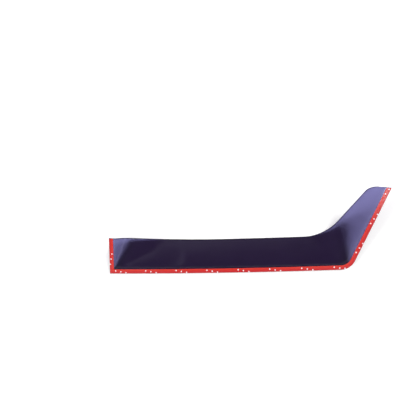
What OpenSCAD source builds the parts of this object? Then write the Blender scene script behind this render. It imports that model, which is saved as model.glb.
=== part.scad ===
// Front side-window rain deflector: a smoked acrylic shell with a flat flange round three sides,
// self-adhesive foam tape on the flange, and red release liners on the tape. It lies as it rests
// on a table, inner side up, on the long flange's outer edge and on the free edge of its panel.

/* [Main panel] */
// Length of the long edge, from the square corner to where the arm's outer edge would cross it
main_len = 590; // [500:1:760]
// How far the long edge bows outward at its middle, to follow the top of a door frame
arch_rise = 2.8; // [1:0.1:8]
// Width at mid length, from the long edge to the free edge
main_w = 79.5; // [70:0.5:100]
// Extra width at the square end
end_flare = 10.5; // [0:0.5:15]
// Length over which the extra width fades out
flare_len = 280; // [120:5:300]

/* [Arm] */
// Length of the arm's outer edge, from where it would cross the long edge to its tip
arm_len = 215; // [170:1:280]
// Angle between the long edge and the arm's outer edge
arm_angle = 63.5; // [54:0.5:74]
// Outer radius of the corner between the long edge and the arm
corner_r = 38; // [20:0.5:45]
// Width of the arm's tip, along its top edge
tip_w = 46; // [36:0.5:60]
// Angle by which the top edge falls towards the arm's outer edge
tip_fall = 7; // [0:0.5:20]
// Angle between the long edge and the arm's free edge
free_angle = 49; // [42:0.5:56]
// Radius of the hollow bend in the free edge
bend_r = 108; // [80:1:150]
// Radius of the corner between the free edge and the top edge
tip_r = 30; // [15:0.5:36]

/* [Section] */
// Thickness of the acrylic sheet
wall = 2.5; // [2:0.1:3.5]
// Slope of the panel against the flange, in degrees
panel_angle = 24; // [18:0.5:30]
// Length of the rounding where the panel leaves the flange
panel_round = 8; // [6:0.5:14]
// Slope of the end wall beside the square end's flange, in degrees
end_angle = 45; // [30:1:50]
// Length of the rounding where the end wall leaves its flange
end_round = 6; // [5:0.5:12]
// How far the free edge rises towards the square end, above the panel's own line
edge_lift = 16; // [8:0.5:20]
// Length over which that rise fades out
lift_len = 170; // [120:5:250]
// Softness of the valley between the end wall and the panel
end_soft = 0.3; // [0.2:0.05:0.8]
// Softness of the fold between the panel and the arm
fold_soft = 0.4; // [0.2:0.05:1]

/* [Tape] */
// Width of the foam tape
tape_w = 10; // [6:0.5:14]
// Thickness of the foam tape
foam_t = 1; // [0.6:0.1:1.6]
// Thickness of the release liner
liner_t = 0.2; // [0.1:0.05:0.4]
// How far the liner reaches past the foam on each side
liner_over = 0.2; // [0:0.05:0.4]
// Bare flange on each side of the foam
tape_margin = 0.8; // [0.5:0.1:2]
// Bare flange beyond the ends of the foam
tape_inset = 1.2; // [0.8:0.1:4]
// Gap where the short tape butts against the long one, between the liners
tape_gap = 0.3; // [0.2:0.1:2]

/* [Hidden] */

acrylic_colour = [0.20, 0.17, 0.30];
foam_colour = [0.16, 0.16, 0.17];
liner_colour = [0.82, 0.20, 0.18];

flange_w = tape_w + 2 * tape_margin;

// Unit vectors along a heading and to the left of it
function ahead(a) = [cos(a), sin(a)];
function left(a) = [-sin(a), cos(a)];
// Point where a left-hand circle of radius r about c has heading a
function on_arc(c, r, a) = c - r * left(a);
function arc_len(r, a) = r * a * PI / 180;
function arc_deg(r, s) = s / r * 180 / PI;

// The long edge is one large arc through both ends of its chord
arch_r = (pow(main_len / 2, 2) + pow(arch_rise, 2)) / (2 * arch_rise);
arch_c = [main_len / 2, arch_r - arch_rise];
arch_a = -asin(main_len / 2 / arch_r);

// Centre of a circle of radius r that touches the line through p with heading a, and, from
// inside, the circle of radius outer_r about the arch's centre
function fillet_centre(p, a, outer_r, r) =
    let (q = p + r * left(a), v = q - arch_c, b = v * ahead(a))
    q - ahead(a) * (b + sqrt(b * b - v * v + pow(outer_r - r, 2)));
// Heading at which the arch meets a fillet about c
function meeting(c) = atan2(c.x - arch_c.x, arch_c.y - c.y);

// Outer edge: the arch, the round corner and the arm, all by length s along the edge
arm_base = [main_len, 0];
tip_out = arm_base + arm_len * ahead(arm_angle);
corner_c = fillet_centre(arm_base, arm_angle, arch_r, corner_r);
corner_a = meeting(corner_c);
corner_s = arc_len(arch_r, corner_a - arch_a);
arm_s = corner_s + arc_len(corner_r, arm_angle - corner_a);
arm_run = (tip_out - on_arc(corner_c, corner_r, arm_angle)) * ahead(arm_angle);
rim_s = arm_s + arm_run;
// The top edge cuts the arm aslant, so lines further inside end sooner
tip_cut = tan(90 - tip_fall - arm_angle);

// Point of the outer edge, moved inward by off
function rim_at(s, off) =
    s < corner_s ? on_arc(arch_c, arch_r - off, arch_a + arc_deg(arch_r, s))
    : s < arm_s ? on_arc(corner_c, corner_r - off, corner_a + arc_deg(corner_r, s - corner_s))
    : on_arc(corner_c, corner_r - off, arm_angle)
        + ahead(arm_angle) * (s - arm_s) * (1 - off * tip_cut / arm_run);

// Free edge: along the panel, round the hollow bend, up the arm and round its tip
tip_in = tip_out - tip_w * ahead(-tip_fall);
bend_c = fillet_centre(tip_in, free_angle, arch_r - main_w, bend_r);
bend_a = meeting(bend_c);
bend_s = arc_len(arch_r, bend_a - arch_a);
slope_s = bend_s + arc_len(bend_r, free_angle - bend_a);
tip_start = tip_in - tip_r * tan((free_angle + tip_fall) / 2) * ahead(free_angle);
tip_c = tip_start - tip_r * left(free_angle);
tip_s = slope_s + norm(tip_start - on_arc(bend_c, bend_r, free_angle));
free_s = tip_s + arc_len(tip_r, free_angle + tip_fall);

// 1 at the square end, falling to 0 at a length
function fading(s, length) = pow(max(0, 1 - s / length), 2);
function width_at(s) = main_w + end_flare * fading(s, flare_len);
function free_at(s) =
    s < bend_s ? on_arc(arch_c, arch_r - width_at(s), arch_a + arc_deg(arch_r, s))
    : s < slope_s ? on_arc(bend_c, bend_r, bend_a + arc_deg(bend_r, s - bend_s))
    : s < tip_s ? on_arc(bend_c, bend_r, free_angle) + ahead(free_angle) * (s - slope_s)
    : tip_c + tip_r * left(free_angle - arc_deg(tip_r, s - tip_s));

// A slope that starts softly over a length r
function ramp(t, r) = t <= 0 ? 0 : t < r ? t * t / (2 * r) : t - r / 2;
// Depth of the panel below the flange at a distance t from the flange
function section(t) = tan(panel_angle) * ramp(t, panel_round);
// The lower of two depths, rounded where they are near each other
function soft_min(a, b, soft) =
    let (k = max(0.001, soft * (a + b) / 2), h = max(0, k - abs(a - b)) / k)
    min(a, b) - h * h * k / 4;
function from_long_flange(p) = arch_r - norm(p - arch_c) - flange_w;
function from_arm_flange(p) = (p - tip_out) * left(arm_angle) - flange_w;
function edge_depth(p, s) =
    section(soft_min(from_long_flange(p), from_arm_flange(p), fold_soft))
    - edge_lift * fading(s, lift_len);
function end_depth(s) = tan(end_angle) * ramp(s - flange_w, end_round);

// Ribs run from the outer edge to the free edge. Each row gives where a stretch of them starts
// on the outer edge and on the free edge, how many there are, and how they bunch at its start
fan_lead = 45;
tip_zone = 60;
rib_stretches = [
    [0, 0, 1, 1],
    [flange_w, flange_w, 20, 1.6],
    [lift_len, lift_len, 10, 1],
    [bend_s - fan_lead, bend_s - fan_lead, 6, 1],
    [corner_s, bend_s + 0.25 * (slope_s - bend_s), 8, 1],
    [arm_s, bend_s + 0.7 * (slope_s - bend_s), 12, 1],
    [rim_s - tip_zone, tip_s, 6, 1],
    [rim_s, free_s, 0, 1]
];
rib_ends = concat(
    [for (k = [0:len(rib_stretches) - 2])
        let (a = rib_stretches[k], b = rib_stretches[k + 1])
        for (i = [0:a[2] - 1])
            let (q = pow(i / a[2], a[3]))
            [a[0] + (b[0] - a[0]) * q, a[1] + (b[1] - a[1]) * q]],
    [[rim_s, free_s]]);
round_rows = 5;
panel_rows = 7;

// Inner face of the sheet: one row of points a rib, in the flange's own plane
function rib(s, free) =
    let (outer = rim_at(s, 0), inner = rim_at(s, flange_w), edge = free_at(free),
         run = norm(edge - inner), along = (edge - inner) / run,
         deepen = edge_depth(edge, s) / section(run),
         rows = concat([for (k = [0:round_rows]) panel_round * k / round_rows],
                       [for (k = [1:panel_rows])
                           panel_round + (run - panel_round) * k / panel_rows]))
    concat([[outer.x, outer.y, 0]],
        [for (t = rows)
            let (p = inner + along * t)
            [p.x, p.y, -soft_min(section(t) * deepen, end_depth(s), end_soft)]]);

inner_face = [for (e = rib_ends) rib(e[0], e[1])];
ribs = len(inner_face);
rows = len(inner_face[0]);

function normal_at(i, j) =
    let (a = inner_face[min(i + 1, ribs - 1)][j] - inner_face[max(i - 1, 0)][j],
         b = inner_face[i][min(j + 1, rows - 1)] - inner_face[i][max(j - 1, 0)],
         c = cross(a, b))
    c / norm(c);
outer_face = [for (i = [0:ribs - 1]) [for (j = [0:rows - 1])
    inner_face[i][j] - wall * normal_at(i, j)]];
sheet_points = concat([for (r = inner_face) each r], [for (r = outer_face) each r]);

// Resting place: tipped until both lower edges touch the table, over the middle of its box
low_y = min([for (r = outer_face) r[0].y]);
rest_tilt = max([for (r = outer_face) for (j = [2:rows - 1])
    atan2(-r[j].z - wall, r[j].y - low_y)]);
function tipped(p) = [p.x, p.y * cos(rest_tilt) - p.z * sin(rest_tilt),
                      p.y * sin(rest_tilt) + p.z * cos(rest_tilt)];
resting = [for (p = sheet_points) tipped(p)];
rest_low = [for (k = [0:2]) min([for (p = resting) p[k]])];
rest_high = [for (k = [0:2]) max([for (p = resting) p[k]])];

module at_rest() {
    translate([-(rest_low.x + rest_high.x) / 2, -(rest_low.y + rest_high.y) / 2, -rest_low.z])
        rotate([rest_tilt, 0, 0])
            children();
}

// Two triangles between four corners, clockwise from outside
function quad(a, b, c, d) = [[a, b, c], [a, c, d]];
function up(i, j) = i * rows + j;
function down(i, j) = (ribs + i) * rows + j;
sheet_faces = concat(
    [for (i = [0:ribs - 2]) for (j = [0:rows - 2])
        each quad(up(i, j), up(i, j + 1), up(i + 1, j + 1), up(i + 1, j))],
    [for (i = [0:ribs - 2]) for (j = [0:rows - 2])
        each quad(down(i, j), down(i + 1, j), down(i + 1, j + 1), down(i, j + 1))],
    [for (i = [0:ribs - 2])
        each quad(up(i, 0), up(i + 1, 0), down(i + 1, 0), down(i, 0))],
    [for (i = [0:ribs - 2], j = rows - 1)
        each quad(up(i + 1, j), up(i, j), down(i, j), down(i + 1, j))],
    [for (j = [0:rows - 2])
        each quad(up(0, j + 1), up(0, j), down(0, j), down(0, j + 1))],
    [for (j = [0:rows - 2], i = ribs - 1)
        each quad(up(i, j), up(i, j + 1), down(i, j + 1), down(i, j))]);

// Outline of a strip that follows the outer edge between two distances inside it
corner_steps = 16;
arch_steps = 24;
strip_stations = concat(
    [for (k = [0:arch_steps]) tape_inset + (corner_s - tape_inset) * k / arch_steps],
    [for (k = [1:corner_steps]) corner_s + (arm_s - corner_s) * k / corner_steps],
    [rim_s - tape_inset / cos(90 - tip_fall - arm_angle)]);
function strip_outline(near, far) = concat(
    [for (s = strip_stations) rim_at(s, near)],
    [for (k = [len(strip_stations) - 1:-1:0]) rim_at(strip_stations[k], far)]);

module long_strip(over, thickness) {
    linear_extrude(thickness)
        polygon(strip_outline(tape_margin - over, tape_margin + tape_w + over));
}

module end_strip(over, thickness) {
    start = tape_margin + tape_w + liner_over + tape_gap + liner_over - over;
    rotate([0, 0, arch_a])
        translate([tape_margin - over, start, 0])
            cube([tape_w + 2 * over, width_at(0) - tape_inset - start, thickness]);
}

module visor_shell() {
    color(acrylic_colour)
        at_rest()
            polyhedron(sheet_points, sheet_faces);
}

module foam_tape_long() {
    color(foam_colour)
        at_rest()
            long_strip(0, foam_t);
}

module foam_tape_end() {
    color(foam_colour)
        at_rest()
            end_strip(0, foam_t);
}

module liner_long() {
    color(liner_colour)
        at_rest()
            translate([0, 0, foam_t])
                long_strip(liner_over, liner_t);
}

module liner_end() {
    color(liner_colour)
        at_rest()
            translate([0, 0, foam_t])
                end_strip(liner_over, liner_t);
}

visor_shell();
foam_tape_long();
foam_tape_end();
liner_long();
liner_end();
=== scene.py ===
"""Window rain deflector in smoked acrylic, lying inner side up on a white table."""

import math

import bpy
import numpy as np
from mathutils import Matrix, Vector


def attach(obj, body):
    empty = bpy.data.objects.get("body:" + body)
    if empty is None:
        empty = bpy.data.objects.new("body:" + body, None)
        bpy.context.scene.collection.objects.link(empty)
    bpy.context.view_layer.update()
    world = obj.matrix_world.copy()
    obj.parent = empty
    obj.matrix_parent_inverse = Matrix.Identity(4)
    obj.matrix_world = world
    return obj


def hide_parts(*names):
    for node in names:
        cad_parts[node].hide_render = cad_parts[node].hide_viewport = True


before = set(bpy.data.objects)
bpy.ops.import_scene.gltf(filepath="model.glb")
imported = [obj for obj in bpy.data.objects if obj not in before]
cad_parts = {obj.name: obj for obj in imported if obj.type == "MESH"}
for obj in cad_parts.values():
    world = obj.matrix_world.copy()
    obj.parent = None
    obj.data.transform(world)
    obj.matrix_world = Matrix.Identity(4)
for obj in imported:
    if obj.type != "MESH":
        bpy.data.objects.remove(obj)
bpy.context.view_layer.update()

MM = 0.001

# The sizes of the part, in mm and degrees, as in its source
MAIN_LEN, ARCH_RISE, MAIN_W = 590.0, 2.8, 79.5
END_FLARE, FLARE_LEN = 10.5, 280.0
ARM_LEN, ARM_ANGLE, CORNER_R = 215.0, math.radians(63.5), 38.0
TIP_W, TIP_FALL, TIP_R = 46.0, math.radians(7.0), 30.0
FREE_ANGLE, BEND_R = math.radians(49.0), 108.0
WALL, PANEL_SLOPE, PANEL_ROUND = 2.5, math.tan(math.radians(24.0)), 8.0
END_SLOPE, END_ROUND = math.tan(math.radians(45.0)), 6.0
EDGE_LIFT, LIFT_LEN = 16.0, 170.0
END_SOFT, FOLD_SOFT = 0.3, 0.4
TAPE_W, FOAM_T, LINER_T, LINER_OVER = 10.0, 1.0, 0.2, 0.2
TAPE_MARGIN, TAPE_INSET, TAPE_GAP = 0.8, 1.2, 0.3
FLANGE_W = TAPE_W + 2 * TAPE_MARGIN

# How the flange's plane is tipped and moved to lie on the table
REST_TILT = math.radians(19.7861)
REST_SHIFT = (-342.966, -92.5274, 3.29867)


# ---------------------------------------------------------------- outline of the part


def ahead(a):
    return np.array([math.cos(a), math.sin(a)])


def left(a):
    return np.array([-math.sin(a), math.cos(a)])


def on_arc(c, r, a):
    """Point where a left-hand circle of radius r about c has heading a."""
    return c - r * left(a)


ARCH_R = ((MAIN_LEN / 2) ** 2 + ARCH_RISE**2) / (2 * ARCH_RISE)
ARCH_C = np.array([MAIN_LEN / 2, ARCH_R - ARCH_RISE])
ARCH_A = -math.asin(MAIN_LEN / 2 / ARCH_R)


def fillet_centre(p, a, outer_r, r):
    """Centre of a circle of radius r that touches a line through p and a circle about ARCH_C."""
    q = p + r * left(a)
    v = q - ARCH_C
    b = v @ ahead(a)
    return q - ahead(a) * (b + math.sqrt(b * b - v @ v + (outer_r - r) ** 2))


def meeting(c):
    """Heading at which the arch meets a fillet about c."""
    return math.atan2(c[0] - ARCH_C[0], ARCH_C[1] - c[1])


TIP_OUT = np.array([MAIN_LEN, 0.0]) + ARM_LEN * ahead(ARM_ANGLE)
CORNER_C = fillet_centre(np.array([MAIN_LEN, 0.0]), ARM_ANGLE, ARCH_R, CORNER_R)
CORNER_A = meeting(CORNER_C)
CORNER_S = ARCH_R * (CORNER_A - ARCH_A)
ARM_S = CORNER_S + CORNER_R * (ARM_ANGLE - CORNER_A)
ARM_RUN = (TIP_OUT - on_arc(CORNER_C, CORNER_R, ARM_ANGLE)) @ ahead(ARM_ANGLE)
RIM_S = ARM_S + ARM_RUN
# The top edge cuts the arm aslant, so lines further inside end sooner
TIP_CUT = math.tan(math.pi / 2 - TIP_FALL - ARM_ANGLE)


def rim_at(s, off):
    """Point of the outer edge at a length s, moved inward by off."""
    if s < CORNER_S:
        return on_arc(ARCH_C, ARCH_R - off, ARCH_A + s / ARCH_R)
    if s < ARM_S:
        return on_arc(CORNER_C, CORNER_R - off, CORNER_A + (s - CORNER_S) / CORNER_R)
    run = (s - ARM_S) * (1 - off * TIP_CUT / ARM_RUN)
    return on_arc(CORNER_C, CORNER_R - off, ARM_ANGLE) + ahead(ARM_ANGLE) * run


TIP_IN = TIP_OUT - TIP_W * ahead(-TIP_FALL)
BEND_C = fillet_centre(TIP_IN, FREE_ANGLE, ARCH_R - MAIN_W, BEND_R)
BEND_A = meeting(BEND_C)
BEND_S = ARCH_R * (BEND_A - ARCH_A)
SLOPE_S = BEND_S + BEND_R * (FREE_ANGLE - BEND_A)
TIP_START = TIP_IN - TIP_R * math.tan((FREE_ANGLE + TIP_FALL) / 2) * ahead(FREE_ANGLE)
TIP_C = TIP_START - TIP_R * left(FREE_ANGLE)
TIP_S = SLOPE_S + np.linalg.norm(TIP_START - on_arc(BEND_C, BEND_R, FREE_ANGLE))
FREE_S = TIP_S + TIP_R * (FREE_ANGLE + TIP_FALL)


def fading(s, length):
    """1 at the square end, falling to 0 at a length."""
    return max(0.0, 1 - s / length) ** 2


def width_at(s):
    return MAIN_W + END_FLARE * fading(s, FLARE_LEN)


def free_at(s):
    """Point of the free edge at a length s from the square end."""
    if s < BEND_S:
        return on_arc(ARCH_C, ARCH_R - width_at(s), ARCH_A + s / ARCH_R)
    if s < SLOPE_S:
        return on_arc(BEND_C, BEND_R, BEND_A + (s - BEND_S) / BEND_R)
    if s < TIP_S:
        return on_arc(BEND_C, BEND_R, FREE_ANGLE) + ahead(FREE_ANGLE) * (s - SLOPE_S)
    return TIP_C + TIP_R * left(FREE_ANGLE - (s - TIP_S) / TIP_R)


# ---------------------------------------------------------------- section of the sheet


def ramp(t, r):
    """A slope that starts softly over a length r."""
    return 0.0 if t <= 0 else t * t / (2 * r) if t < r else t - r / 2


def section(t):
    """Depth of the panel below the flange at a distance t from it."""
    return PANEL_SLOPE * ramp(t, PANEL_ROUND)


def soft_min(a, b, soft):
    """The lower of two depths, rounded where they are near each other."""
    k = max(0.001, soft * (a + b) / 2)
    h = max(0.0, k - abs(a - b)) / k
    return min(a, b) - h * h * k / 4


def edge_depth(p, s):
    """Depth of the free edge below the flange at its point p."""
    from_long = ARCH_R - np.linalg.norm(p - ARCH_C) - FLANGE_W
    from_arm = (p - TIP_OUT) @ left(ARM_ANGLE) - FLANGE_W
    return section(soft_min(from_long, from_arm, FOLD_SOFT)) - EDGE_LIFT * fading(s, LIFT_LEN)


def end_depth(s):
    """Depth of the end wall at a length s from the square end."""
    return END_SLOPE * ramp(s - FLANGE_W, END_ROUND)


# Where each stretch of ribs starts on the outer and the free edge, their number and bunching
FAN_LEAD, TIP_ZONE = 45.0, 60.0
RIB_STRETCHES = [
    (0, 0, 5, 1),
    (FLANGE_W, FLANGE_W, 60, 1.6),
    (LIFT_LEN, LIFT_LEN, 34, 1),
    (BEND_S - FAN_LEAD, BEND_S - FAN_LEAD, 18, 1),
    (CORNER_S, BEND_S + 0.25 * (SLOPE_S - BEND_S), 26, 1),
    (ARM_S, BEND_S + 0.7 * (SLOPE_S - BEND_S), 38, 1),
    (RIM_S - TIP_ZONE, TIP_S, 20, 1),
    (RIM_S, FREE_S, 0, 1),
]
FLANGE_ROWS, ROUND_ROWS, PANEL_ROWS = 4, 14, 24
# Width of the inner face beside the free edge that gets the painted edge shade: a darker tint that
# stands in for the dark line the cut edge shows by refraction
EDGE_SHADE_BAND = 2.4


def rib(s, free):
    """One row of points of the inner face, from the outer edge to the free edge."""
    inner, edge = rim_at(s, FLANGE_W), free_at(free)
    run = np.linalg.norm(edge - inner)
    along = (edge - inner) / run
    deepen = edge_depth(edge, s) / section(run)
    points = [(*rim_at(s, FLANGE_W * k / FLANGE_ROWS), 0.0) for k in range(FLANGE_ROWS)]
    reach = run - EDGE_SHADE_BAND - PANEL_ROUND
    stations = [PANEL_ROUND * k / ROUND_ROWS for k in range(ROUND_ROWS + 1)]
    stations += [PANEL_ROUND + reach * k / PANEL_ROWS for k in range(1, PANEL_ROWS + 1)]
    for t in (*stations, run):
        depth = soft_min(section(t) * deepen, end_depth(s), END_SOFT)
        points.append((*(inner + along * t), -depth))
    return points


def rib_ends():
    """Where each rib starts on the outer edge and ends on the free edge."""
    for a, b in zip(RIB_STRETCHES, RIB_STRETCHES[1:]):
        for i in range(a[2]):
            q = (i / a[2]) ** a[3]
            yield a[0] + (b[0] - a[0]) * q, a[1] + (b[1] - a[1]) * q
    yield RIM_S, FREE_S


def to_rest(points):
    """Points of the flange's own plane, in mm, as they lie on the table, in metres."""
    p = np.asarray(points, float)
    c, s = math.cos(REST_TILT), math.sin(REST_TILT)
    tipped = np.stack([p[..., 0], p[..., 1] * c - p[..., 2] * s, p[..., 1] * s + p[..., 2] * c], -1)
    return (tipped + REST_SHIFT) * MM


REST = Matrix.Translation([v * MM for v in REST_SHIFT]) @ Matrix.Rotation(REST_TILT, 4, "X")


# ---------------------------------------------------------------- mesh helpers


def new_object(name, vertices, faces):
    mesh = bpy.data.meshes.new(name)
    mesh.from_pydata([tuple(v) for v in vertices], [], faces)
    mesh.validate()
    mesh.update()
    piece = bpy.data.objects.new(name, mesh)
    bpy.context.scene.collection.objects.link(piece)
    return piece


def plate(name, top, bottom):
    """A closed plate between two grids of points that have the same rows and columns."""
    n, m = top.shape[:2]
    count = n * m

    def up(i, j):
        return i * m + j

    def down(i, j):
        return count + i * m + j

    faces = []
    for i in range(n - 1):
        for j in range(m - 1):
            faces.append((up(i, j), up(i + 1, j), up(i + 1, j + 1), up(i, j + 1)))
            faces.append((down(i, j), down(i, j + 1), down(i + 1, j + 1), down(i + 1, j)))
    for i in range(n - 1):
        faces.append((up(i, 0), down(i, 0), down(i + 1, 0), up(i + 1, 0)))
        faces.append((up(i + 1, m - 1), down(i + 1, m - 1), down(i, m - 1), up(i, m - 1)))
    for j in range(m - 1):
        faces.append((up(0, j + 1), down(0, j + 1), down(0, j), up(0, j)))
        faces.append((up(n - 1, j), down(n - 1, j), down(n - 1, j + 1), up(n - 1, j + 1)))
    return new_object(name, np.concatenate([top.reshape(-1, 3), bottom.reshape(-1, 3)]), faces)


def plain_mesh(piece):
    """The piece's mesh as its modifiers leave it."""
    graph = bpy.context.evaluated_depsgraph_get()
    return bpy.data.meshes.new_from_object(piece.evaluated_get(graph))


def round_edges(piece, radius, segments):
    bevel = piece.modifiers.new("rounded edges", "BEVEL")
    bevel.width = radius * MM
    bevel.segments = segments
    bevel.limit_method = "ANGLE"
    bevel.angle_limit = math.radians(60)
    bevel.harden_normals = True
    bevel.use_clamp_overlap = False
    mesh = plain_mesh(piece)
    piece.modifiers.clear()
    piece.data = mesh


EDGE_RADIUS = 0.7


def make_shell():
    """The sheet as one closed plate, with the cut edge and the band beside the free edge as its
    second material, which paints shade on them.
    """
    inner = np.array([rib(s, free) for s, free in rib_ends()])
    n, m = inner.shape[:2]
    i, j = np.arange(n), np.arange(m)
    across = inner[np.minimum(i + 1, n - 1)] - inner[np.maximum(i - 1, 0)]
    along = inner[:, np.minimum(j + 1, m - 1)] - inner[:, np.maximum(j - 1, 0)]
    normal = np.cross(across, along)
    normal /= np.linalg.norm(normal, axis=-1, keepdims=True)
    shell = plate("smoked_shell", to_rest(inner), to_rest(inner - WALL * normal))
    # Each rib's last inner face lies in the painted edge shade band, and the rim's faces come after
    # the sheet's
    faces, row = list(shell.data.polygons), 2 * (m - 1)
    sheet_count = (n - 1) * row
    # These faces get the painted edge shade
    for face in (*faces[row - 2 : sheet_count : row], *faces[sheet_count:]):
        face.material_index = 1
    shell.data.shade_smooth()
    round_edges(shell, EDGE_RADIUS, 3)
    return shell


# ---------------------------------------------------------------- strips and printed dots


# Length along the outer edge at which the long strip stops, short of the arm's slanted tip
STRIP_END = RIM_S - TAPE_INSET / math.cos(math.pi / 2 - TIP_FALL - ARM_ANGLE)
# Distances of a liner's rows of points from the outer edge
LINER_ROWS = np.linspace(TAPE_MARGIN - LINER_OVER, TAPE_MARGIN + TAPE_W + LINER_OVER, 9)


def film(name, points, lengths, material_made):
    """A release liner: a thin film over a grid of points, with its own UV along and across it."""
    top = np.array([[(*q, FOAM_T + LINER_T) for q in row] for row in points])
    bottom = top - (0, 0, LINER_T)
    piece = plate(name, to_rest(top), to_rest(bottom))
    n, m = top.shape[:2]
    layer = piece.data.uv_layers.new(name="along_across")
    for loop in piece.data.loops:
        i, j = divmod(loop.vertex_index % (n * m), m)
        layer.data[loop.index].uv = (lengths[i] * MM, j / (m - 1))
    piece.data.materials.append(material_made)
    return piece


def make_long_liner(material_made):
    stations = [
        *np.linspace(TAPE_INSET, CORNER_S, 120, endpoint=False),
        *np.linspace(CORNER_S, ARM_S, 28, endpoint=False),
        *np.linspace(ARM_S, STRIP_END, 50),
    ]
    grid = [[rim_at(s, off) for off in LINER_ROWS] for s in stations]
    return film("red_liner_long", grid, stations, material_made)


def make_end_liner(material_made):
    start = TAPE_MARGIN + TAPE_W + LINER_OVER + TAPE_GAP
    stations = np.linspace(width_at(0) - TAPE_INSET, start, 30)
    out, inward = left(ARCH_A), ahead(ARCH_A)
    grid = [[out * t + inward * off for off in LINER_ROWS] for t in stations]
    return film("red_liner_end", grid, stations, material_made)


def edge_curve(name, points):
    """A stretch of the flange's outer edge as a curve, with the part's inside on its left."""
    data = bpy.data.curves.new(name, "CURVE")
    data.dimensions = "3D"
    line = data.splines.new("POLY")
    line.points.add(len(points) - 1)
    for point, (x, y) in zip(line.points, points):
        point.co = (x * MM, y * MM, 0, 1)
    curve = bpy.data.objects.new(name, data)
    bpy.context.scene.collection.objects.link(curve)
    return curve


# The printed dots' pitch, places and sizes, in mm
DOT_SIZES = {
    "Repeat": 76.5,
    "Gap": 13.0,
    "Middle": 4.9,
    "Spread": 2.4,
    "Length": 3.1,
    "Width": 3.7,
    "Height": FOAM_T + LINER_T,
    "Thickness": 0.06,
}
DOTS_A_GROUP = 3
# How many groups each liner has, and where the first one's middle dot lies along its edge
LONG_GROUPS, LONG_FIRST = 11, 28.6
END_GROUPS, END_FIRST = 1, 53.0


def math_node(nodes, links, operation, a, b):
    node = nodes.new("ShaderNodeMath")
    node.operation = operation
    for socket, value in zip(node.inputs, (a, b)):
        if isinstance(value, (int, float)):
            socket.default_value = value
        else:
            links.new(value, socket)
    return node.outputs[0]


def dot_tree():
    """Groups of printed dots along an edge, each dot a step further out than the one before."""
    tree = bpy.data.node_groups.new("printed dots", "GeometryNodeTree")
    nodes, links = tree.nodes, tree.links
    tree.interface.new_socket("Edge", in_out="INPUT", socket_type="NodeSocketGeometry")
    tree.interface.new_socket("Groups", in_out="INPUT", socket_type="NodeSocketInt")
    for name in ("First", *DOT_SIZES):
        tree.interface.new_socket(name, in_out="INPUT", socket_type="NodeSocketFloat")
    tree.interface.new_socket("Ink", in_out="INPUT", socket_type="NodeSocketMaterial")
    tree.interface.new_socket("Dots", in_out="OUTPUT", socket_type="NodeSocketGeometry")
    given = nodes.new("NodeGroupInput").outputs

    def maths(operation, a, b):
        return math_node(nodes, links, operation, a, b)

    def vector(operation, a, b, second=1):
        node = nodes.new("ShaderNodeVectorMath")
        node.operation = operation
        for socket, value in ((node.inputs[0], a), (node.inputs[second], b)):
            if isinstance(value, tuple):
                socket.default_value = value
            else:
                links.new(value, socket)
        return node.outputs[0]

    points = nodes.new("GeometryNodePoints")
    links.new(maths("MULTIPLY", given["Groups"], DOTS_A_GROUP), points.inputs["Count"])
    index = nodes.new("GeometryNodeInputIndex").outputs[0]
    group = maths("FLOOR", maths("DIVIDE", maths("ADD", index, 0.5), DOTS_A_GROUP), 0)
    step = maths("SUBTRACT", maths("SUBTRACT", index, maths("MULTIPLY", group, DOTS_A_GROUP)), 1)
    along = maths("ADD", given["First"], maths("MULTIPLY", given["Repeat"], group))
    along = maths("ADD", along, maths("MULTIPLY", given["Gap"], step))
    inward = maths("SUBTRACT", given["Middle"], maths("MULTIPLY", given["Spread"], step))

    sample = nodes.new("GeometryNodeSampleCurve")
    sample.mode = "LENGTH"
    sample.use_all_curves = True
    links.new(given["Edge"], sample.inputs["Curves"])
    links.new(along, sample.inputs["Length"])
    heading = sample.outputs["Tangent"]
    across = vector("CROSS_PRODUCT", (0, 0, 1), heading)
    offset = vector("SCALE", across, inward, "Scale")
    rise = nodes.new("ShaderNodeCombineXYZ")
    links.new(given["Height"], rise.inputs["Z"])
    place = vector("ADD", vector("ADD", sample.outputs["Position"], offset), rise.outputs[0])
    turned = nodes.new("FunctionNodeAlignRotationToVector")
    turned.axis = "X"
    turned.pivot_axis = "Z"
    links.new(heading, turned.inputs["Vector"])

    total = nodes.new("GeometryNodeCurveLength")
    links.new(given["Edge"], total.inputs[0])
    past = nodes.new("FunctionNodeCompare")
    past.data_type, past.operation = "FLOAT", "GREATER_THAN"
    links.new(along, past.inputs["A"])
    links.new(maths("SUBTRACT", total.outputs[0], given["Length"]), past.inputs["B"])
    placed = nodes.new("GeometryNodeSetPosition")
    links.new(points.outputs[0], placed.inputs["Geometry"])
    links.new(place, placed.inputs["Position"])

    disc = nodes.new("GeometryNodeMeshCylinder")
    disc.inputs["Vertices"].default_value = 24
    disc.inputs["Radius"].default_value = 0.5
    disc.inputs["Depth"].default_value = 1
    size = nodes.new("ShaderNodeCombineXYZ")
    for axis, name in zip("XYZ", ("Length", "Width", "Thickness")):
        links.new(given[name], size.inputs[axis])
    copies = nodes.new("GeometryNodeInstanceOnPoints")
    links.new(disc.outputs["Mesh"], copies.inputs["Instance"])
    links.new(turned.outputs[0], copies.inputs["Rotation"])
    links.new(size.outputs[0], copies.inputs["Scale"])
    # A dot whose place lies past the edge's end is left out
    keep = nodes.new("FunctionNodeBooleanMath")
    keep.operation = "NOT"
    links.new(past.outputs[0], keep.inputs[0])
    links.new(keep.outputs[0], copies.inputs["Selection"])
    links.new(placed.outputs[0], copies.inputs["Points"])
    real = nodes.new("GeometryNodeRealizeInstances")
    links.new(copies.outputs[0], real.inputs[0])
    inked = nodes.new("GeometryNodeSetMaterial")
    links.new(real.outputs[0], inked.inputs["Geometry"])
    links.new(given["Ink"], inked.inputs["Material"])
    result = nodes.new("NodeGroupOutput")
    links.new(inked.outputs[0], result.inputs[0])
    return tree


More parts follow.
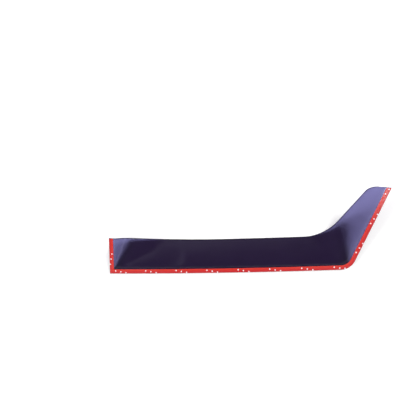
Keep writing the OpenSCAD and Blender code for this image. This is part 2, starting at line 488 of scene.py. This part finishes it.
def print_dots(name, edge, tree, groups, first, ink):
    """Dots printed on the liner beside an edge, baked to a plain mesh where the strip lies."""
    modifier = edge.modifiers.new("printed dots", "NODES")
    modifier.node_group = tree
    values = {name: size * MM for name, size in DOT_SIZES.items()}
    values.update({"Groups": groups, "First": first * MM, "Ink": ink})
    for item in tree.interface.items_tree:
        if item.in_out == "INPUT" and item.name in values:
            modifier[item.identifier] = values[item.name]
    mesh = plain_mesh(edge)
    bpy.data.objects.remove(edge)
    mesh.transform(REST)
    piece = bpy.data.objects.new(name, mesh)
    bpy.context.scene.collection.objects.link(piece)
    return piece


# ---------------------------------------------------------------- materials

# Colours in linear light: the sheet, the painted shade on its cut edge, the darker tint that lamps
# meet in it which deepens its shadow on the table as painted shade, and the liner's film from the
# part's outer edge inwards
SHEET_TINT = (0.218, 0.206, 0.455)
# Painted shade: the cut edge and the band beside the free edge get this darker tint in place of the
# dark line that refraction gives there
EDGE_SHADE_TINT = (0.035, 0.03, 0.08)
# Painted shade: lamps meet this darker tint in the sheet, so its shadow on the table is deeper than
# its own tint would cast
SHADOW_DEEPENING_TINT = (0.045, 0.012, 0.05)
FILM_STOPS = [
    (0.0, (0.50, 0.010, 0.018)),
    (0.45, (0.61, 0.014, 0.014)),
    (1.0, (0.74, 0.030, 0.014)),
]
FILM_WORN = (0.88, 0.80, 0.80)
FOAM_DARK, FOAM_LIGHT = (0.016, 0.016, 0.018), (0.045, 0.045, 0.05)
INK_THIN, INK_FULL = (0.90, 0.72, 0.78), (0.95, 0.90, 0.94)
WHITE = (1, 1, 1, 1)


def material(name):
    """An empty material, with the input that its last shader goes to."""
    mat = bpy.data.materials.new(name)
    mat.use_nodes = True
    nodes, links = mat.node_tree.nodes, mat.node_tree.links
    nodes.clear()
    surface = nodes.new("ShaderNodeOutputMaterial").inputs["Surface"]
    return mat, nodes, links, surface


def mottle_group():
    """Soft uneven patches, as moulding and handling leave them: a mask and a bumped normal."""
    group = bpy.data.node_groups.new("soft mottle", "ShaderNodeTree")
    group.interface.new_socket("Vector", in_out="INPUT", socket_type="NodeSocketVector")
    for name in ("Scale", "Detail", "Low", "High", "Depth"):
        group.interface.new_socket(name, in_out="INPUT", socket_type="NodeSocketFloat")
    group.interface.new_socket("Mask", in_out="OUTPUT", socket_type="NodeSocketFloat")
    group.interface.new_socket("Value", in_out="OUTPUT", socket_type="NodeSocketFloat")
    group.interface.new_socket("Normal", in_out="OUTPUT", socket_type="NodeSocketVector")
    nodes, links = group.nodes, group.links
    given, result = nodes.new("NodeGroupInput").outputs, nodes.new("NodeGroupOutput").inputs
    noise = nodes.new("ShaderNodeTexNoise")
    for name in ("Vector", "Scale", "Detail"):
        links.new(given[name], noise.inputs[name])
    spread = nodes.new("ShaderNodeMapRange")
    spread.inputs["From Min"].default_value = 0.3
    spread.inputs["From Max"].default_value = 0.7
    links.new(noise.outputs[0], spread.inputs["Value"])
    value = nodes.new("ShaderNodeMapRange")
    links.new(spread.outputs[0], value.inputs["Value"])
    links.new(given["Low"], value.inputs["To Min"])
    links.new(given["High"], value.inputs["To Max"])
    bump = nodes.new("ShaderNodeBump")
    bump.inputs["Distance"].default_value = 0.001
    links.new(given["Depth"], bump.inputs["Strength"])
    links.new(noise.outputs[0], bump.inputs["Height"])
    links.new(spread.outputs[0], result["Mask"])
    links.new(value.outputs[0], result["Value"])
    links.new(bump.outputs[0], result["Normal"])
    return group


MOTTLE = mottle_group()


def add_mottle(nodes, links, where, **values):
    """The mottle's outputs, at a place and with values of the material's own."""
    node = nodes.new("ShaderNodeGroup")
    node.node_tree = MOTTLE
    for name, value in values.items():
        node.inputs[name].default_value = value
    links.new(where, node.inputs["Vector"])
    return node.outputs


def object_coordinates(nodes):
    return nodes.new("ShaderNodeTexCoord").outputs["Object"]


def colour_between(nodes, links, factor, low, high):
    mix = nodes.new("ShaderNodeMix")
    mix.data_type = "RGBA"
    mix.inputs["A"].default_value = (*low, 1)
    mix.inputs["B"].default_value = (*high, 1)
    links.new(factor, mix.inputs["Factor"])
    return mix.outputs["Result"]


def smoked_acrylic(name, tint_or_edge_shade):
    """Smoke-tinted sheet, given the sheet's tint or the painted edge shade. Lamps meet a darker
    tint than the camera does, which deepens the sheet's shadow on the table: painted shade.
    """
    mat, nodes, links, surface = material(name)
    sheet = nodes.new("ShaderNodeBsdfPrincipled")
    sheet.inputs["IOR"].default_value = 1.49
    sheet.inputs["Transmission Weight"].default_value = 1
    where = object_coordinates(nodes)
    waves = add_mottle(nodes, links, where, Scale=14, Detail=1, Low=0.03, High=0.055, Depth=0.25)
    links.new(waves["Value"], sheet.inputs["Roughness"])
    links.new(waves["Normal"], sheet.inputs["Normal"])
    low, high = ([c * share for c in tint_or_edge_shade] for share in (0.97, 1.03))
    tint = colour_between(nodes, links, waves["Mask"], low, high)
    links.new(tint, sheet.inputs["Base Color"])
    # Painted shade: lamps pass the sheet with the darker tint, which deepens its shadow on the
    # table
    lamp_way = nodes.new("ShaderNodeBsdfTransparent")
    # The light crosses two faces, so each takes the root
    lamp_way.inputs["Color"].default_value = (*[math.sqrt(c) for c in SHADOW_DEEPENING_TINT], 1)
    path = nodes.new("ShaderNodeLightPath").outputs
    lit = math_node(nodes, links, "MAXIMUM", path["Is Shadow Ray"], path["Is Diffuse Ray"])
    mix = nodes.new("ShaderNodeMixShader")
    links.new(lit, mix.inputs[0])
    links.new(sheet.outputs[0], mix.inputs[1])
    links.new(lamp_way.outputs[0], mix.inputs[2])
    links.new(mix.outputs[0], surface)
    return mat


def closed_cell_foam():
    mat, nodes, links, surface = material("closed-cell foam")
    body = nodes.new("ShaderNodeBsdfPrincipled")
    body.inputs["Roughness"].default_value = 0.9
    cells = nodes.new("ShaderNodeTexVoronoi")
    cells.inputs["Scale"].default_value = 2200
    links.new(object_coordinates(nodes), cells.inputs["Vector"])
    shade = colour_between(nodes, links, cells.outputs["Distance"], FOAM_DARK, FOAM_LIGHT)
    links.new(shade, body.inputs["Base Color"])
    pits = nodes.new("ShaderNodeBump")
    pits.inputs["Strength"].default_value = 0.5
    pits.inputs["Distance"].default_value = 0.0001
    links.new(cells.outputs["Distance"], pits.inputs["Height"])
    links.new(pits.outputs[0], body.inputs["Normal"])
    links.new(body.outputs[0], surface)
    return mat


def release_film():
    """Red liner film, lighter towards the part's inside, with faint streaks along its length."""
    mat, nodes, links, surface = material("red release film")
    body = nodes.new("ShaderNodeBsdfPrincipled")
    body.inputs["Specular IOR Level"].default_value = 0.6
    coords = nodes.new("ShaderNodeUVMap")
    coords.uv_map = "along_across"
    parts = nodes.new("ShaderNodeSeparateXYZ")
    links.new(coords.outputs[0], parts.inputs[0])
    across = nodes.new("ShaderNodeValToRGB")
    stops = across.color_ramp.elements
    stops.new(FILM_STOPS[1][0])
    for stop, (position, colour) in zip(stops, FILM_STOPS):
        stop.position, stop.color = position, (*colour, 1)
    links.new(parts.outputs["Y"], across.inputs[0])
    stretch = nodes.new("ShaderNodeMapping")
    stretch.inputs["Scale"].default_value = (18, 9, 1)
    links.new(coords.outputs[0], stretch.inputs["Vector"])
    where = stretch.outputs[0]
    streaks = add_mottle(nodes, links, where, Scale=1, Detail=3, Low=0.13, High=0.2)
    worn = nodes.new("ShaderNodeMix")
    worn.data_type, worn.blend_type = "RGBA", "MULTIPLY"
    worn.inputs["B"].default_value = (*FILM_WORN, 1)
    links.new(streaks["Mask"], worn.inputs["Factor"])
    links.new(across.outputs[0], worn.inputs["A"])
    links.new(worn.outputs["Result"], body.inputs["Base Color"])
    links.new(streaks["Value"], body.inputs["Roughness"])
    crinkles = add_mottle(nodes, links, object_coordinates(nodes), Scale=160, Detail=2, Depth=0.12)
    links.new(crinkles["Normal"], body.inputs["Normal"])
    links.new(body.outputs[0], surface)
    return mat


def pale_ink():
    mat, nodes, links, surface = material("pale print")
    body = nodes.new("ShaderNodeBsdfPrincipled")
    where = object_coordinates(nodes)
    print_wear = add_mottle(nodes, links, where, Scale=900, Detail=2, Low=0.3, High=0.4)
    shade = colour_between(nodes, links, print_wear["Mask"], INK_THIN, INK_FULL)
    links.new(shade, body.inputs["Base Color"])
    links.new(print_wear["Value"], body.inputs["Roughness"])
    links.new(body.outputs[0], surface)
    return mat


# ---------------------------------------------------------------- the part's pieces

shell = make_shell()
shell.data.materials.append(smoked_acrylic("smoked acrylic", SHEET_TINT))
# Painted shade: the second material darkens the cut edge and the band beside the free edge
shell.data.materials.append(smoked_acrylic("smoked acrylic, painted edge shade", EDGE_SHADE_TINT))
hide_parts("visor_shell")
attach(shell, "root")

film_red = release_film()
for liner, node in (
    (make_long_liner(film_red), "liner_long"),
    (make_end_liner(film_red), "liner_end"),
):
    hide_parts(node)
    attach(liner, "root")

ink = pale_ink()
dots = dot_tree()
long_edge = edge_curve("long_edge", [rim_at(s, 0) for s in np.linspace(0, RIM_S, 900)])
end_edge = edge_curve("end_edge", [left(ARCH_A) * t for t in np.linspace(width_at(0), 0, 10)])
for piece in (
    print_dots("liner_dots_long", long_edge, dots, LONG_GROUPS, LONG_FIRST, ink),
    print_dots("liner_dots_end", end_edge, dots, END_GROUPS, END_FIRST, ink),
):
    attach(piece, "root")

foam = closed_cell_foam()
for node in ("foam_tape_long", "foam_tape_end"):
    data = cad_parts[node].data
    data.materials.clear()
    data.materials.append(foam)


# ---------------------------------------------------------------- floor, light and camera

TABLE_HALF, TABLE_TOP = 2.5, -0.0002
# What the table adds to its own colour, seen directly or mirrored, and seen through the sheet
TABLE_LIFT, TABLE_LIFT_THROUGH = 0.2, 0.015

# Brightness of the room by elevation in degrees
ROOM = [
    (0, 0.12), (20, 0.12), (24, 0.16), (39, 0.2), (43, 0.85), (55, 0.85),
    (59, 0.1), (66, 0.1), (70, 0.14), (78, 0.16), (90, 0.16),
]
# Glows on the ceiling that the sheet mirrors, by how far they lie back or to the front
CEILING_HEIGHT = 0.8
CEILING_BACK = [
    (0, 0), (0.27, 0), (0.30, 0.10), (0.335, 0.38), (0.4, 0.45), (0.5, 0.2), (0.6, 0), (1, 0),
]
CEILING_FRONT = [(0, 0), (0.11, 0), (0.15, 0.55), (0.33, 0.55), (0.38, 0), (1, 0)]
# The back glow weakens from left to right
CEILING_SIDE = {"From Min": -0.08, "From Max": 0.03, "To Min": 1.0, "To Max": 0.6}
# A narrow light line runs aslant over the ceiling's back part
SEAM = [(0, 0), (0.516, 0), (0.526, 0.32), (0.54, 0.24), (0.56, 0.08), (0.585, 0), (1, 0)]
SEAM_SLANT, SEAM_START = 1.76, 0.05
# Further right the curved sheet would mirror the line a second time
SEAM_RIGHT = -0.137
# Seen through the sheet, what lies below this height is white, as the table is
HORIZON = 0.2

LAMP_DISTANCE = 12.0

# The picture's width, and the lens in widths of a pixel
PICTURE_PX, LENS_PX, SENSOR_MM = 416, 340, 36


def white_table():
    a = TABLE_HALF
    corners = [(-a, -a, TABLE_TOP), (a, -a, TABLE_TOP), (a, a, TABLE_TOP), (-a, a, TABLE_TOP)]
    floor = new_object("table", corners, [(0, 1, 2, 3)])
    mat, nodes, links, surface = material("white table")
    top = nodes.new("ShaderNodeBsdfPrincipled")
    top.inputs["Base Color"].default_value = (0.95, 0.95, 0.95, 1)
    top.inputs["Roughness"].default_value = 0.9
    top.inputs["Specular IOR Level"].default_value = 0
    top.inputs["Emission Color"].default_value = WHITE
    path = nodes.new("ShaderNodeLightPath").outputs
    seen = math_node(nodes, links, "MAXIMUM", path["Is Camera Ray"], path["Is Glossy Ray"])
    lift = nodes.new("ShaderNodeMix")
    links.new(math_node(nodes, links, "MULTIPLY", seen, TABLE_LIFT), lift.inputs["A"])
    lift.inputs["B"].default_value = TABLE_LIFT_THROUGH
    links.new(path["Is Transmission Ray"], lift.inputs["Factor"])
    links.new(lift.outputs["Result"], top.inputs["Emission Strength"])
    links.new(top.outputs[0], surface)
    floor.data.materials.append(mat)


def brightness_curve(nodes, links, source, stops):
    curve = nodes.new("ShaderNodeFloatCurve")
    points = curve.mapping.curves[0].points
    for k, at in enumerate(stops):
        if k < 2:
            points[k].location = at
        else:
            points.new(*at)
    for point in points:
        point.handle_type = "VECTOR"
    curve.mapping.update()
    links.new(source, curve.inputs["Value"])
    return curve.outputs[0]


def room_light():
    """White for the camera, and a plain room with a few glows for the light and the gloss."""
    world = bpy.data.worlds.new("room")
    bpy.context.scene.world = world
    world.use_nodes = True
    nodes, links = world.node_tree.nodes, world.node_tree.links
    nodes.clear()

    def maths(operation, a, b):
        return math_node(nodes, links, operation, a, b)

    def curve(source, stops):
        return brightness_curve(nodes, links, source, stops)

    coords = nodes.new("ShaderNodeTexCoord")
    split = nodes.new("ShaderNodeSeparateXYZ")
    links.new(coords.outputs["Generated"], split.inputs[0])
    right, back, height = split.outputs
    room = curve(height, [(math.sin(math.radians(e)), level) for e, level in ROOM])
    side = nodes.new("ShaderNodeMapRange")
    for name, value in CEILING_SIDE.items():
        side.inputs[name].default_value = value
    links.new(right, side.inputs["Value"])
    back_glow = maths("MULTIPLY", curve(back, CEILING_BACK), side.outputs[0])
    slanted = maths("SUBTRACT", back, maths("MULTIPLY", right, SEAM_SLANT))
    seam = maths("MULTIPLY", curve(slanted, SEAM), maths("GREATER_THAN", back, SEAM_START))
    seam = maths("MULTIPLY", seam, maths("LESS_THAN", right, SEAM_RIGHT))
    front_glow = curve(maths("MULTIPLY", back, -1.0), CEILING_FRONT)
    glows = maths("ADD", maths("ADD", back_glow, seam), front_glow)
    above = maths("MULTIPLY", glows, maths("GREATER_THAN", height, CEILING_HEIGHT))
    path = nodes.new("ShaderNodeLightPath").outputs
    low = maths("LESS_THAN", height, HORIZON)
    through = maths("MULTIPLY", path["Is Transmission Ray"], low)

    lit, white = nodes.new("ShaderNodeBackground"), nodes.new("ShaderNodeBackground")
    for background in (lit, white):
        background.inputs["Color"].default_value = WHITE
    links.new(maths("ADD", room, above), lit.inputs["Strength"])
    white.inputs["Strength"].default_value = 1
    mix = nodes.new("ShaderNodeMixShader")
    links.new(maths("MAXIMUM", path["Is Camera Ray"], through), mix.inputs[0])
    links.new(lit.outputs[0], mix.inputs[1])
    links.new(white.outputs[0], mix.inputs[2])
    links.new(mix.outputs[0], nodes.new("ShaderNodeOutputWorld").inputs["Surface"])


def softbox(name, azimuth, elevation, wide, high, level, mirrored=False):
    """A lamp facing the part, by the angles it fills and its share of white on the table."""
    data = bpy.data.lights.new(name, "AREA")
    data.shape = "RECTANGLE"
    data.size = 2 * LAMP_DISTANCE * math.tan(math.radians(wide / 2))
    data.size_y = 2 * LAMP_DISTANCE * math.tan(math.radians(high / 2))
    a, e = math.radians(azimuth), math.radians(elevation)
    data.energy = level * (math.pi * LAMP_DISTANCE) ** 2 / math.sin(e)
    lamp = bpy.data.objects.new(name, data)
    bpy.context.scene.collection.objects.link(lamp)
    towards = Vector((math.cos(e) * math.cos(a), math.cos(e) * math.sin(a), math.sin(e)))
    lamp.location = LAMP_DISTANCE * towards
    lamp.rotation_euler = lamp.location.to_track_quat("Z", "Y").to_euler()
    lamp.visible_glossy = mirrored


white_table()
room_light()
softbox("lamp_right", 31, 32, 38, 6.5, 0.32)
softbox("lamp_left", 189, 34, 30, 6.5, 0.36)
softbox("lamp_front", 312, 32, 24, 6.5, 0.12)
softbox("lamp_tip", 326, 60, 7, 7, 0.026, mirrored=True)

camera = bpy.data.objects.new("camera", bpy.data.cameras.new("camera"))
bpy.context.scene.collection.objects.link(camera)
bpy.context.scene.camera = camera
camera.data.sensor_width = SENSOR_MM
camera.data.lens = LENS_PX / PICTURE_PX * SENSOR_MM
camera.data.clip_start = 0.01
camera.data.clip_end = 50
camera.location = (-0.0306, -0.1805, 0.8484)
camera.rotation_euler = [math.radians(a) for a in (16.54, 4.44, -0.50)]

bpy.context.scene.view_settings.view_transform = "Standard"
